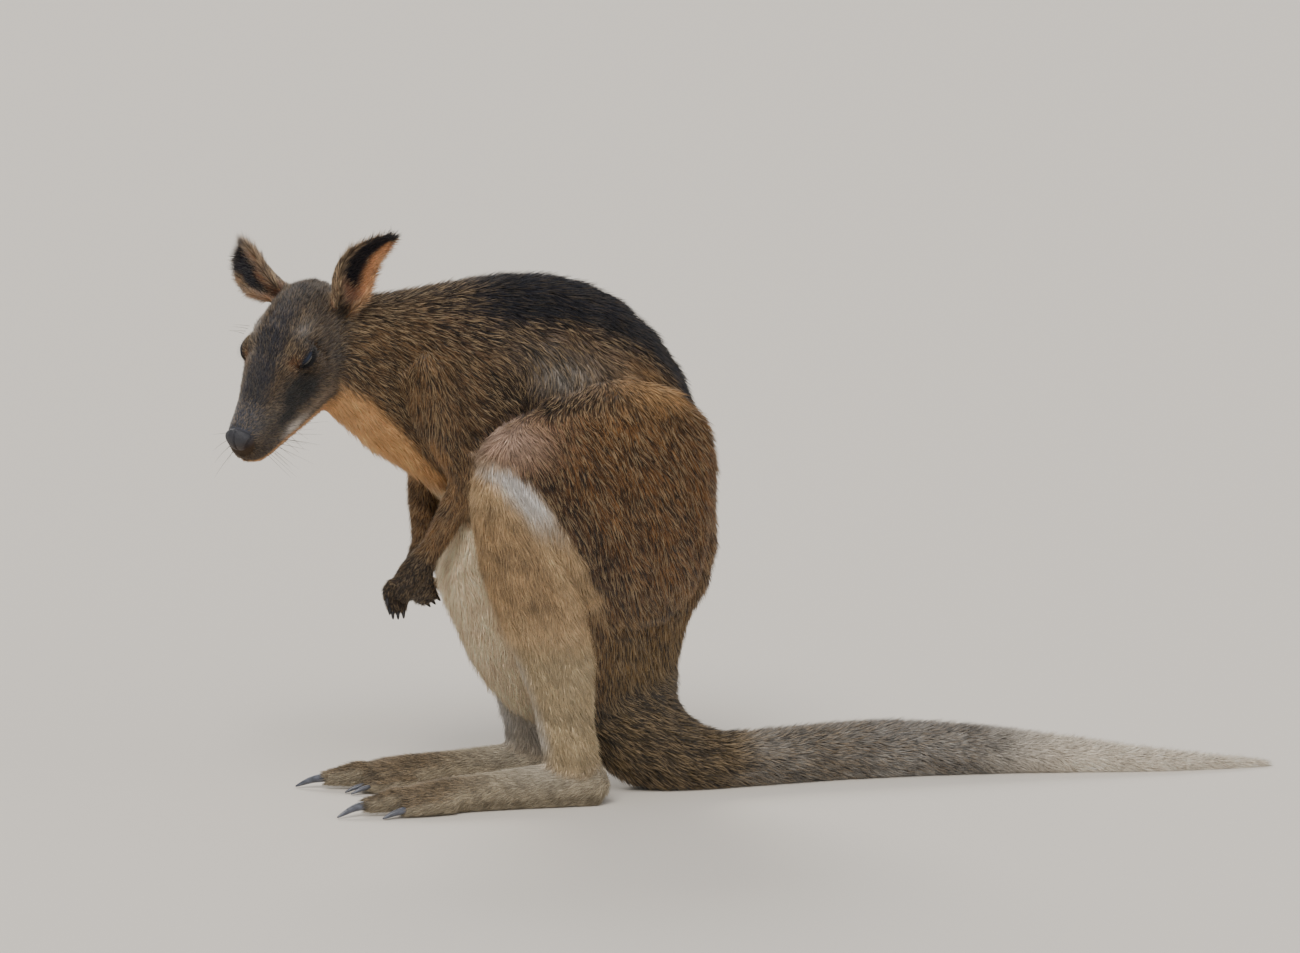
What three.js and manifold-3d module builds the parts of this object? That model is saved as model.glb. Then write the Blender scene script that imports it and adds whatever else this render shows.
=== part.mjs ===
// A life-size wallaby, standing hunched with its feet flat and its tail laid out behind it.
// Millimetres, +Z up. The animal faces -X, its left side is -Y, and its soles and tail rest on z = 0.
// Flesh is built from oval sections along each limb, and every part is cut clear of its neighbours by GAP.
import * as THREE from "three";
import { mergeVertices } from "three/addons/utils/BufferGeometryUtils.js";
import Module from "manifold-3d";

const wasm = await Module();
wasm.setup();

// ---- Driving dimensions ----

const GAP = 0.35; // clearance between two parts that touch
const LEFT = -1;
const RIGHT = 1;
const RIGHT_LEG_AHEAD = 17; // the right foot stands this far in front of the left
const RIGHT_FOOT_IN = 24; // and this much nearer the middle, the leg leaning in from the hip
const HIP_HEIGHT = 290;
const EYE_RADIUS = 9.5;
const EYE_AT = { x: -48, y: 23.5, z: -1 }; // in the head's own frame, mirrored for the other eye
const HEAD_AT = [-269, -12, 397]; // a little in front of the ears
const HEAD_PITCH = 34.6; // the skull's base line, nose down from level, in degrees
const HEAD_YAW = 47.8; // nose turned to the animal's left
const HEAD_ROLL = 3.3;
const EAR_SHELL = 2.6; // thickness of the ear
const UPPER_ARM_THICK = [6, 25, 25, 20, 14]; // radii from shoulder to elbow
const FOREARM_THICK = [13.5, 13, 11.5, 9.6];
const PALM_THICK = [9.4, 12.5, 12.5, 10];
const FINGER_THICK = [5.2, 5, 3.6];
const FINGER_LENGTHS = [19, 22, 24, 22, 17];
const FINGER_SPACING = 5.4;
const HAND_CLAW = { thick: [2.1, 1.6, 0.5], reach: 3.5, drop: 5.5 };

const FINISHES = {
  coat_brown: { color: 0x6b5138, roughness: 0.95 },
  coat_dark: { color: 0x37302c, roughness: 0.95 },
  coat_pale: { color: 0xb9a283, roughness: 0.95 },
  hand_skin: { color: 0x2e2724, roughness: 0.85 },
  nose_skin: { color: 0x33343a, roughness: 0.55 },
  claw_horn: { color: 0x35363c, roughness: 0.4 },
  eye_wet: { color: 0x120d0a, roughness: 0.08 },
};

// ---- Shapes ----

const point = (xyz) => new THREE.Vector3(...xyz);
const radians = THREE.MathUtils.degToRad;
const sideName = (side) => (side === LEFT ? "left" : "right");

function smoothCurve(points) {
  const curve = new THREE.CatmullRomCurve3(points);
  curve.curveType = "catmullrom";
  return curve;
}

// One number that runs smoothly through the given values as t goes from 0 to 1.
function smoothValue(values) {
  const curve = smoothCurve(values.map((value) => point([value, 0, 0])));
  return (t) => curve.getPoint(t).x;
}

// The faces that close an end ring: a fan about its middle point.
function fanCap(ring, start, positions) {
  const hub = positions.length / 3;
  const middle = ring.reduce((sum, p) => sum.add(p), new THREE.Vector3()).divideScalar(ring.length);
  positions.push(...middle.toArray());
  return ring.flatMap((_, s) => [hub, start + s, start + ((s + 1) % ring.length)]);
}

// The faces that close the end of a shell, whose ring runs out along one wall and back along the other.
function shellCap(ring, start) {
  const last = ring.length - 1;
  return Array.from({ length: ring.length / 2 - 1 }, (_, s) => {
    const [a, b, c, d] = [s, s + 1, last - s - 1, last - s].map((i) => start + i);
    return [a, b, c, a, c, d];
  }).flat();
}

// Closes a stack of rings, each with the same number of points, into one surface.
function stack(rings, cap = fanCap) {
  const sides = rings[0].length;
  const positions = rings.flat().flatMap((p) => p.toArray());
  const faces = [];
  for (let r = 0; r + 1 < rings.length; r++) {
    for (let s = 0; s < sides; s++) {
      const next = (s + 1) % sides;
      const [a, b] = [r * sides + s, r * sides + next];
      const [c, d] = [b + sides, a + sides];
      faces.push(a, b, c, a, c, d);
    }
  }
  faces.push(...cap(rings[0], 0, positions).reverse());
  faces.push(...cap(rings[rings.length - 1], (rings.length - 1) * sides, positions));
  const geometry = new THREE.BufferGeometry();
  geometry.setAttribute("position", new THREE.Float32BufferAttribute(positions, 3));
  geometry.setIndex(faces);
  return geometry;
}

// A solid through oval sections. A section runs from its top point to its bottom point and is `half` wide
// each way across Y; `low` above 0 carries its widest place towards the bottom point.
function oval(sections, { steps, sides, from = 0, to = 1, grow = 0 }) {
  const top = smoothCurve(sections.map((s) => point(s.top)));
  const bottom = smoothCurve(sections.map((s) => point(s.bottom)));
  const half = smoothValue(sections.map((s) => s.half));
  const low = smoothValue(sections.map((s) => s.low ?? 0));
  const rings = [];
  for (let i = 0; i <= steps; i++) {
    const t = from + ((to - from) * i) / steps;
    const middle = top.getPoint(t).add(bottom.getPoint(t)).multiplyScalar(0.5);
    const axis = top.getPoint(t).sub(middle);
    const reach = axis.length();
    axis.normalize();
    rings.push(Array.from({ length: sides }, (_, s) => {
      const angle = (2 * Math.PI * s) / sides;
      const across = (half(t) + grow) * Math.sin(angle) * (1 - low(t) * Math.cos(angle));
      return middle.clone().addScaledVector(axis, (reach + grow) * Math.cos(angle)).add(point([0, across, 0]));
    }));
  }
  return stack(rings);
}

// A round tube along a curve. `thick` gives its radius at even steps along the path.
function tube(path, thick, { steps, sides, grow = 0 }) {
  const curve = smoothCurve(path.map(point));
  const radius = smoothValue(thick);
  const frames = curve.computeFrenetFrames(steps);
  const rings = [];
  for (let i = 0; i <= steps; i++) {
    const t = curve.getUtoTmapping(i / steps);
    const r = radius(t) + grow;
    rings.push(Array.from({ length: sides }, (_, s) => {
      const angle = (2 * Math.PI * s) / sides;
      return curve.getPoint(t)
        .addScaledVector(frames.normals[i], r * Math.cos(angle))
        .addScaledVector(frames.binormals[i], r * Math.sin(angle));
    }));
  }
  return stack(rings);
}

// ---- Joining and cutting ----

function solid(geometry, matrix = new THREE.Matrix4()) {
  const bare = new THREE.BufferGeometry();
  bare.setAttribute("position", geometry.getAttribute("position").clone());
  bare.setIndex(geometry.index);
  bare.applyMatrix4(matrix);
  const merged = mergeVertices(bare, 1e-3);
  const vertProperties = merged.attributes.position.array;
  const triVerts = new Uint32Array(merged.index.array);
  const facingOut = new wasm.Manifold(new wasm.Mesh({ numProp: 3, vertProperties, triVerts }));
  if (facingOut.volume() > 0) return facingOut;
  for (let i = 0; i < triVerts.length; i += 3) triVerts.subarray(i + 1, i + 3).reverse();
  return new wasm.Manifold(new wasm.Mesh({ numProp: 3, vertProperties, triVerts }));
}

function geometryOf(made) {
  const mesh = made.getMesh();
  const geometry = new THREE.BufferGeometry();
  geometry.setAttribute("position", new THREE.BufferAttribute(mesh.vertProperties.slice(), 3));
  geometry.setIndex(new THREE.BufferAttribute(mesh.triVerts.slice(), 1));
  geometry.computeVertexNormals();
  return geometry;
}

const cutBy = (whole, ...others) => others.reduce((rest, other) => rest.subtract(other), whole);
const join = (first, ...others) => others.reduce((sum, other) => sum.add(other), first);
// The same shape as it is, and grown by GAP for cutting its neighbours.
const pair = (shape) => ({ own: solid(shape(0)), grown: solid(shape(GAP)) });

const GROUND = 2000; // side of the block that trims away what would sink below the floor
const belowFloor = solid(new THREE.BoxGeometry(GROUND, GROUND, GROUND).translate(0, 0, -GROUND / 2));
const wallaby = new THREE.Group();

// Adds one named part, keeping its largest body where a cut has left a crumb.
function part(name, made, finish, group = wallaby) {
  const [largest] = made.decompose().sort((a, b) => b.volume() - a.volume());
  const material = new THREE.MeshStandardMaterial({ name: finish, metalness: 0, ...FINISHES[finish] });
  const mesh = new THREE.Mesh(geometryOf(largest), material);
  mesh.name = name;
  group.add(mesh);
}

// ---- Neck, trunk and tail: one line of sections from the nape to the tail's tip ----

// back x, back z, underside x, underside z, half width, low, y
const BODY_LINE = [
  [-256, 412, -262, 318, 34, 0, -6], // nape
  [-222, 409, -240, 303, 39, 0, -2], // neck
  [-188, 413, -223, 285, 44], // withers
  [-150, 419, -202, 271.5, 51, 0.05], // shoulders
  [-106, 424, -180, 257, 58, 0.1], // breast
  [-60, 420, -157, 232, 66, 0.1], // ribs
  [-20, 403, -161, 200, 72, 0.12], // waist
  [18, 367, -166, 178, 77, 0.12], // paunch
  [45, 317, -158, 153, 79, 0.1], // loin
  [61, 245, -145, 123, 78, 0.05], // rump
  [62, 186, -131, 96, 70], // seat
  [41, 141, -108, 70, 56], // pouch floor
  [31, 98, -68, 46, 41], // tail root
  [34, 68, -22, 10, 34],
  [62, 47, 32, -1.5, 30, 0, 2],
  [103, 44, 98, -1.5, 26, 0, 8],
  [163, 46, 160, -1.5, 25, 0, 17],
  [221, 45, 221, -1.5, 24, 0, 20],
  [279, 39, 279, -1.5, 21, 0, 18],
  [330, 32, 330, -1.5, 17.5, 0, 13],
  [382, 24, 382, -1.5, 13.5, 0, 5],
  [434, 16, 434, -1.5, 9.5, 0, -2],
  [480, 10, 480, -1.5, 6, 0, -4],
  [519, 4, 519, -0.5, 2.2, 0, -3], // tail tip
].map(([topX, topZ, bottomX, bottomZ, half, low = 0, y = 0]) =>
  ({ top: [topX, y, topZ], bottom: [bottomX, y, bottomZ], half, low }));
const LAST = BODY_LINE.length - 1;
const LENGTHS = [
  { name: "neck", first: 0, last: 2.5, steps: 3, sides: 16, finish: "coat_brown" },
  { name: "chest", first: 2.5, last: 5.3, steps: 4, sides: 16, finish: "coat_brown" },
  { name: "belly", first: 5.3, last: 8.3, steps: 4, sides: 16, finish: "coat_brown" },
  { name: "rump", first: 8.3, last: 11.6, steps: 5, sides: 16, finish: "coat_brown" },
  { name: "tail_root", first: 11.6, last: 14.6, steps: 6, sides: 12, finish: "coat_pale" },
  { name: "tail_middle", first: 14.6, last: 17.6, steps: 4, sides: 12, finish: "coat_pale" },
  { name: "tail_end", first: 17.6, last: 20.4, steps: 4, sides: 12, finish: "coat_pale" },
  { name: "tail_tip", first: 20.4, last: LAST, steps: 4, sides: 10, finish: "coat_pale" },
];
const SPLIT = 0.006; // half the gap between two lengths, in sections

function bodyLength({ first, last, steps, sides }) {
  const from = (first + (first > 0 ? SPLIT : 0)) / LAST;
  const to = (last - (last < LAST ? SPLIT : 0)) / LAST;
  return solid(oval(BODY_LINE, { steps, sides, from, to }));
}

// ---- Hind legs ----

// Sections of the left leg: front or top x, z, back or bottom x, z, half width, y, low.
const legSections = (rows) => rows.map(([topX, topZ, bottomX, bottomZ, half, y, low]) =>
  ({ top: [topX, y, topZ], bottom: [bottomX, y, bottomZ], half, low }));
const THIGH = legSections([
  [54, 282, 50, 222, 8, -50],
  [40, 322, 30, 162, 30, -53, 0.2],
  [2, 346, -8, 140, 39, -56, 0.25],
  [-42, 345, -44, 152, 42, -58, 0.25],
  [-84, 337, -76, 186, 40, -61, 0.2],
  [-118, 323, -100, 218, 34, -65, 0.1],
  [-138, 305, -120, 246, 27, -68],
  [-148, 290, -138, 264, 15, -69],
]);
const SHANK = legSections([
  [-139, 296, -112, 286, 18, -69],
  [-149, 266, -97, 260, 30, -69],
  [-148, 234, -80, 231, 31, -68],
  [-142, 200, -62, 198, 29, -66],
  [-131, 166, -52, 165, 26, -63],
  [-118, 136, -49, 133, 22, -60],
  [-105, 105, -46, 102, 18.5, -57],
  [-96, 76, -46, 75, 16.5, -54],
  [-90, 50, -43, 50, 16.5, -53],
  [-87, 24, -38, 26, 17, -52],
]);
const FOOT = legSections([
  [-34, 24, -34, 10, 8, -51],
  [-41, 36, -40, -1.2, 15, -51],
  [-62, 40, -62, -1.2, 18, -52],
  [-90, 35, -90, -1.2, 16.5, -53],
  [-118, 31, -118, -0.6, 15.5, -55],
  [-146, 29, -146, -0.6, 16, -57],
  [-170, 27, -170, -1.2, 18, -59],
  [-190, 24, -190, -1.2, 18.5, -61],
  [-204, 20, -204, 1, 13, -62],
]);
// The long fourth toe, the outer fifth, and the bound pair inside them.
const TOES = [
  {
    name: "fourth",
    path: [[-182, -60, 12], [-204, -62, 13], [-222, -64, 12], [-234, -66, 9]], thick: [11, 11, 10, 6],
    claw: [[-229, -65, 10], [-240, -68, 9], [-256, -73, 1.5]], clawThick: [5, 4, 0.8],
  },
  {
    name: "fifth",
    path: [[-160, -70, 9], [-182, -75, 9], [-198, -78, 8], [-206, -79, 6]], thick: [8, 8, 7, 4],
    claw: [[-202, -79, 7], [-212, -81, 5], [-221, -83, 1.4]], clawThick: [3.4, 2.8, 0.7],
  },
  {
    name: "third",
    path: [[-160, -47, 8], [-182, -45, 7.5], [-200, -45, 7], [-208, -45, 5.5]], thick: [6.5, 6.5, 5.5, 3.2],
    claw: [[-204, -44.5, 6.5], [-212, -44, 5], [-220, -43, 1.4]], clawThick: [2.4, 2, 0.6],
  },
  {
    name: "second",
    path: [[-160, -41, 8], [-182, -38, 7.5], [-197, -38, 7], [-204, -38, 5.5]], thick: [6, 6, 5, 3],
    claw: [[-200, -38, 6.5], [-208, -37, 5], [-216, -36, 1.4]], clawThick: [2.3, 1.9, 0.6],
  },
];

function hindLeg(side) {
  const [ahead, inward] = side === RIGHT ? [RIGHT_LEG_AHEAD, RIGHT_FOOT_IN] : [0, 0];
  const lean = (z) => inward * Math.max(0, 1 - z / HIP_HEIGHT);
  const place = ([x, y, z]) => [x - ahead, y * -side - lean(z), z];
  const limb = (sections, size) => {
    const placed = sections.map((s) => ({ ...s, top: place(s.top), bottom: place(s.bottom) }));
    return pair((grow) => oval(placed, { ...size, grow }));
  };
  return {
    side,
    thigh: limb(THIGH, { steps: 9, sides: 14 }),
    shank: limb(SHANK, { steps: 9, sides: 12 }),
    foot: limb(FOOT, { steps: 7, sides: 10 }),
    toes: TOES.map(({ name, path, thick, claw, clawThick }) => ({
      name,
      flesh: solid(tube(path.map(place), thick, { steps: 2, sides: 6 })),
      claw: pair((grow) => tube(claw.map(place), clawThick, { steps: 2, sides: 5, grow })),
    })),
  };
}
const legs = [hindLeg(LEFT), hindLeg(RIGHT)];

// ---- Arms ----

// Joints down each arm, then the directions in which the hand hangs and its knuckles run.
const ARMS = {
  [LEFT]: {
    upper: [[-174, -24, 382], [-176, -32, 360], [-172, -40, 332], [-160, -47, 300], [-147, -51, 268]],
    fore: [[-147, -50, 273], [-154, -47, 250], [-165, -43, 226], [-178, -40, 204]],
    palm: [[-177, -41, 207], [-186, -38, 193], [-197, -35, 179], [-202, -34, 171]],
    hangs: [-0.62, 0.12, -0.78], knuckles: [-0.62, -0.5, 0.5],
  },
  [RIGHT]: {
    upper: [[-180, 22, 382], [-186, 30, 360], [-184, 40, 332], [-176, 45, 300], [-166, 47, 264]],
    fore: [[-167, 47, 268], [-169, 44, 244], [-170, 38, 220], [-170, 31, 198]],
    palm: [[-171, 32, 200], [-174, 27, 187], [-176, 23, 174], [-176, 21, 167]],
    hangs: [0.05, -0.2, -0.98], knuckles: [-0.75, 0.6, 0.1],
  },
};

function finger(root, length, reach, inward) {
  const middle = root.clone().addScaledVector(reach, length * 0.55);
  const tip = middle.clone().addScaledVector(reach, length * 0.3).addScaledVector(inward, length * 0.4);
  const clawTip = tip.clone().addScaledVector(reach, HAND_CLAW.reach).addScaledVector(inward, HAND_CLAW.drop);
  const nail = [tip.clone().lerp(middle, 0.15), tip.clone().lerp(clawTip, 0.45), clawTip];
  const size = { steps: 2, sides: 4 };
  return {
    flesh: solid(tube([root, middle, tip].map((p) => p.toArray()), FINGER_THICK, { steps: 2, sides: 5 })),
    claw: pair((grow) => tube(nail.map((p) => p.toArray()), HAND_CLAW.thick, { ...size, grow })),
  };
}

function arm(side) {
  const { upper, fore, palm, hangs, knuckles } = ARMS[side];
  const reach = point(hangs).normalize();
  const across = point(knuckles).projectOnPlane(reach).normalize();
  const inward = reach.clone().cross(across).multiplyScalar(side);
  const fingers = FINGER_LENGTHS.map((length, i) =>
    finger(point(palm[2]).addScaledVector(across, (i - 2) * FINGER_SPACING), length, reach, inward));
  return {
    side,
    upperArm: pair((grow) => tube(upper, UPPER_ARM_THICK, { steps: 4, sides: 10, grow })),
    forearm: pair((grow) => tube(fore, FOREARM_THICK, { steps: 4, sides: 10, grow })),
    hand: join(solid(tube(palm, PALM_THICK, { steps: 2, sides: 8 })), ...fingers.map((f) => f.flesh)),
    claws: fingers.map((f) => f.claw),
  };
}
const arms = [arm(LEFT), arm(RIGHT)];

// ---- Head ----

// The head's own frame: the nose points along -X, the crown up +Z, and the origin lies between the ears.
const headGroup = new THREE.Group();
headGroup.position.set(...HEAD_AT);
headGroup.rotation.set(radians(HEAD_ROLL), -radians(HEAD_PITCH), radians(HEAD_YAW), "ZYX");
headGroup.updateMatrix();
wallaby.add(headGroup);

// x, top z, bottom z, half width, low
const headSections = (rows) => rows.map(([x, top, bottom, half, low = 0]) =>
  ({ top: [x, 0, top], bottom: [x, 0, bottom], half, low }));
const SKULL = headSections([
  [-131, -15, -33, 6],
  [-128, -10, -43, 12],
  [-119, -6, -51, 15.5, 0.08],
  [-104, -1, -56, 18.5, 0.1],
  [-86, 5, -60, 22.5, 0.04],
  [-68, 12, -64, 29, -0.08],
  [-50, 20, -69, 35, -0.16],
  [-33, 25, -73, 37, -0.14],
  [-14, 27, -74, 37],
  [4, 26, -69, 35],
  [20, 18, -55, 28],
  [31, 4, -36, 16],
]);
const NOSE_PAD = headSections([
  [-133.5, -17, -23, 4],
  [-131.5, -11.5, -28, 9],
  [-126, -8.5, -30, 11.5],
  [-119, -8, -28, 10],
  [-114, -11, -22, 4],
]);
const skullShape = (grow) => oval(SKULL, { steps: 12, sides: 16, grow });
const skull = pair(skullShape);
const skullInPlace = solid(skullShape(GAP), headGroup.matrix);
const nosePad = pair((grow) => oval(NOSE_PAD, { steps: 5, sides: 10, grow }));
const eyeBall = (side, radius) =>
  solid(new THREE.SphereGeometry(radius, 10, 6).translate(EYE_AT.x, EYE_AT.y * side, EYE_AT.z));

// An ear is a leaf-shaped shell, rolled into a cone at its root and opening out towards its tip.
const EARS = {
  [LEFT]: { root: [11, -26, 6], tip: [55, -65.5, 42], opensTo: [-0.38, -0.85, 0.2], bend: [0, 8, 5.5] },
  [RIGHT]: { root: [9, 23, 8], tip: [37, 79, 29], opensTo: [-0.8, 0.1, 0.55], bend: [0, -2, 1] },
};
const EAR_HALF_WIDTH = smoothValue([11, 15, 16.5, 14, 10, 4]);
const EAR_ROLL = smoothValue([150, 120, 92, 74, 62, 50]); // half the arc that the shell fills, in degrees
const EAR_BOW = 2.5; // how far the middle of the ear bulges back

function earShape(side, grow) {
  const { root, tip, opensTo, bend } = EARS[side];
  const axis = point(tip).sub(point(root));
  const out = point(opensTo).projectOnPlane(axis).normalize();
  const across = axis.clone().normalize().cross(out);
  const [steps, arc] = [6, 6];
  const rings = [];
  for (let i = 0; i <= steps; i++) {
    const t = i / steps;
    const turn = radians(EAR_ROLL(t));
    const radius = EAR_HALF_WIDTH(t) / Math.sin(Math.min(turn, Math.PI / 2));
    const hollow = Math.min(EAR_SHELL, EAR_HALF_WIDTH(t) * 0.6) + grow;
    const arch = Math.sin(Math.PI * t);
    const middle = point(root).addScaledVector(axis, t)
      .addScaledVector(out, radius * 0.55 - EAR_BOW * arch)
      .addScaledVector(point(bend), arch);
    const shell = (r, from) => Array.from({ length: arc }, (_, k) => {
      const angle = from * (1 - (2 * k) / (arc - 1));
      return middle.clone().addScaledVector(out, -r * Math.cos(angle)).addScaledVector(across, r * Math.sin(angle));
    });
    rings.push([...shell(radius + grow, -turn), ...shell(radius - hollow, turn)]);
  }
  return stack(rings, shellCap);
}

// ---- Putting the parts together ----

part("head", cutBy(skull.own, nosePad.grown, ...[LEFT, RIGHT].map((side) => eyeBall(side, EYE_RADIUS + GAP))),
  "coat_brown", headGroup);
part("nose", nosePad.own, "nose_skin", headGroup);
for (const side of [LEFT, RIGHT]) {
  part(`eye_${sideName(side)}`, eyeBall(side, EYE_RADIUS), "eye_wet", headGroup);
  part(`ear_${sideName(side)}`, cutBy(solid(earShape(side, 0)), skull.grown), "coat_dark", headGroup);
}

const limbs = [
  ...legs.flatMap(({ thigh, shank, foot }) => [thigh, shank, foot]),
  ...arms.flatMap(({ upperArm, forearm }) => [upperArm, forearm]),
];
const bodyCutters = [
  skullInPlace,
  belowFloor,
  ...[LEFT, RIGHT].map((side) => solid(earShape(side, GAP), headGroup.matrix)),
  ...limbs.map((limb) => limb.grown),
];
for (const length of LENGTHS) part(length.name, cutBy(bodyLength(length), ...bodyCutters), length.finish);

for (const { side, upperArm, forearm, hand, claws } of arms) {
  const leg = legs.find((one) => one.side === side);
  part(`upper_arm_${sideName(side)}`,
    cutBy(upperArm.own, skullInPlace, forearm.grown, leg.thigh.grown, leg.shank.grown), "coat_brown");
  part(`forearm_${sideName(side)}`, forearm.own, "coat_brown");
  part(`hand_${sideName(side)}`, cutBy(hand, forearm.grown, ...claws.map((claw) => claw.grown)), "hand_skin");
  claws.forEach((claw, i) => part(`hand_claw_${sideName(side)}_${i + 1}`, claw.own, "claw_horn"));
}

for (const { side, thigh, shank, foot, toes } of legs) {
  const { forearm } = arms.find((one) => one.side === side);
  const wholeFoot = join(foot.own, ...toes.map((toe) => toe.flesh));
  part(`thigh_${sideName(side)}`, cutBy(thigh.own, forearm.grown), "coat_brown");
  part(`shank_${sideName(side)}`, cutBy(shank.own, thigh.grown, foot.grown, forearm.grown), "coat_pale");
  part(`foot_${sideName(side)}`, cutBy(wholeFoot, ...toes.map((toe) => toe.claw.grown), belowFloor), "coat_pale");
  for (const toe of toes) part(`toe_claw_${sideName(side)}_${toe.name}`, cutBy(toe.claw.own, belowFloor), "claw_horn");
}

// The origin is the middle of the animal's footprint, at floor level.
wallaby.updateMatrixWorld(true);
const middle = new THREE.Box3().setFromObject(wallaby, true).getCenter(new THREE.Vector3());
wallaby.position.set(-middle.x, -middle.y, 0);

export default wallaby;
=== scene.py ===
import math

import bpy
import numpy as np
from mathutils import Matrix, Vector
from mathutils.bvhtree import BVHTree


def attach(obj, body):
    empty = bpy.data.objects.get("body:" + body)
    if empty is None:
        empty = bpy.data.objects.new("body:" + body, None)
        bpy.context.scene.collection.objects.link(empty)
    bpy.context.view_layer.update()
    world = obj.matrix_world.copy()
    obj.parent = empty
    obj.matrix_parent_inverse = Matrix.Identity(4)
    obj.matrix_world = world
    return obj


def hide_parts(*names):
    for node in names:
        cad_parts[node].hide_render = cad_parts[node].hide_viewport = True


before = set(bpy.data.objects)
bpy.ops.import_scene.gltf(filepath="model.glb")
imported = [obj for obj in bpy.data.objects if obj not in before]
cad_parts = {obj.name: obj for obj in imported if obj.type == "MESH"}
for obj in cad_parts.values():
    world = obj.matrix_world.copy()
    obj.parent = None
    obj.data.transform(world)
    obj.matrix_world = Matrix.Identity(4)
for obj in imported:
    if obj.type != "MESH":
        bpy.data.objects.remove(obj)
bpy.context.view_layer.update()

MM = 0.001
bpy.ops.object.select_all(action="DESELECT")


# ---- Skin ----
# The hide of a small wallaby, stretched over the whole manikin in one piece from lips to tail tip.
# It is cast from the flesh solids, blended where they meet, and drawn in by the depth of the coat.

FLESH = sorted(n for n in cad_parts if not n.startswith(("eye", "nose")) and "claw" not in n)
MOULDED = [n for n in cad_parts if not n.startswith("ear") and "claw" not in n]  # the ears are cast anew
HEAD_AT = Vector((-357.3, -9.46, 397.0))  # millimetres, a little in front of the ears
HEAD_TURN = (
    Matrix.Rotation(math.radians(47.8), 3, "Z")
    @ Matrix.Rotation(math.radians(-34.6), 3, "Y")
    @ Matrix.Rotation(math.radians(3.3), 3, "X")
)
LEFT, RIGHT = -1, 1
SIDES = ((LEFT, "left"), (RIGHT, "right"))
TURN = np.array(HEAD_TURN)
MERGE = 0.00002  # metres
OVERLAP = 0.0003  # metres by which each solid is fattened to meet its neighbours
FINE_VOXEL = 1.4
VOXEL = FINE_VOXEL
SKIN_FACES = 125000
LARGEST_FACE = 14.0  # square millimetres


def to_head(p):
    """Millimetres in the room to the head's own frame: nose along -x, crown up z."""
    return (p - np.array(HEAD_AT)) @ TURN


def from_head(p):
    return np.asarray(p) @ TURN.T + np.array(HEAD_AT)


def step(x, a, b):
    """0 up to a, 1 from b on, and a smooth rise between, whichever of them is greater."""
    t = np.clip((x - a) / (b - a), 0, 1)
    return t * t * (3 - 2 * t)


def mound(p, centre, reach):
    """1 at the centre, falling to 0 over the reach in each direction."""
    return np.exp(-(((p - np.array(centre)) / np.array(reach)) ** 2).sum(-1))


def through(values, t):
    """A smooth curve through values at even steps of t from 0 to 1."""
    v = np.asarray(values, float)
    x = np.clip(np.asarray(t, float), 0, 1) * (len(v) - 1)
    i = np.clip(np.floor(x).astype(int), 0, len(v) - 2)
    f = x - i
    a = v[np.clip(i - 1, 0, len(v) - 1)]
    b, c = v[i], v[i + 1]
    d = v[np.clip(i + 2, 0, len(v) - 1)]
    return b + 0.5 * f * (c - a + f * (2 * a - 5 * b + 4 * c - d + f * (3 * (b - c) + d - a)))


def points_of(mesh):
    co = np.empty(len(mesh.vertices) * 3, np.float32)
    mesh.vertices.foreach_get("co", co)
    return co.reshape(-1, 3).astype(float)


def put_points(mesh, p):
    mesh.vertices.foreach_set("co", np.ascontiguousarray(p, np.float32).ravel())
    mesh.update()


def normals_of(mesh):
    n = np.empty(len(mesh.vertices) * 3, np.float32)
    mesh.vertex_normals.foreach_get("vector", n)
    return n.reshape(-1, 3).astype(float)


def edges_of(mesh):
    e = np.empty(len(mesh.edges) * 2, np.int32)
    mesh.edges.foreach_get("vertices", e)
    return e.reshape(-1, 2)


def even_out(values, edges, rounds):
    """Spreads values over the mesh, each point moving halfway to the mean of its neighbours."""
    v = np.array(values, float)
    flat = v.reshape(len(v), -1)
    a, b = edges[:, 0], edges[:, 1]
    count = np.maximum(np.bincount(a, minlength=len(v)) + np.bincount(b, minlength=len(v)), 1)
    for _ in range(rounds):
        for k in range(flat.shape[1]):
            column = flat[:, k]
            around = np.bincount(a, column[b], len(v)) + np.bincount(b, column[a], len(v))
            flat[:, k] = 0.5 * column + 0.5 * around / count
    return flat.reshape(v.shape)


def only(obj):
    bpy.ops.object.select_all(action="DESELECT")
    obj.select_set(True)
    bpy.context.view_layer.objects.active = obj


def apply(obj, kind, **settings):
    only(obj)
    m = obj.modifiers.new("shape", kind)
    for name, value in settings.items():
        setattr(m, name, value)
    bpy.ops.object.modifier_apply(modifier=m.name)


def all_over(obj, operator, **settings):
    """Runs an edit operator on the whole of a piece."""
    only(obj)
    bpy.ops.object.mode_set(mode="EDIT")
    bpy.ops.mesh.select_all(action="SELECT")
    operator(**settings)
    bpy.ops.object.mode_set(mode="OBJECT")


def cad_copy(node, name):
    """A piece with its own mesh, cut from the same shape as a solid, its loose triangles merged."""
    piece = bpy.data.objects.new(name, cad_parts[node].data.copy())
    piece.data.materials.clear()
    bpy.context.scene.collection.objects.link(piece)
    all_over(piece, bpy.ops.mesh.remove_doubles, threshold=MERGE)
    return piece


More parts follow.
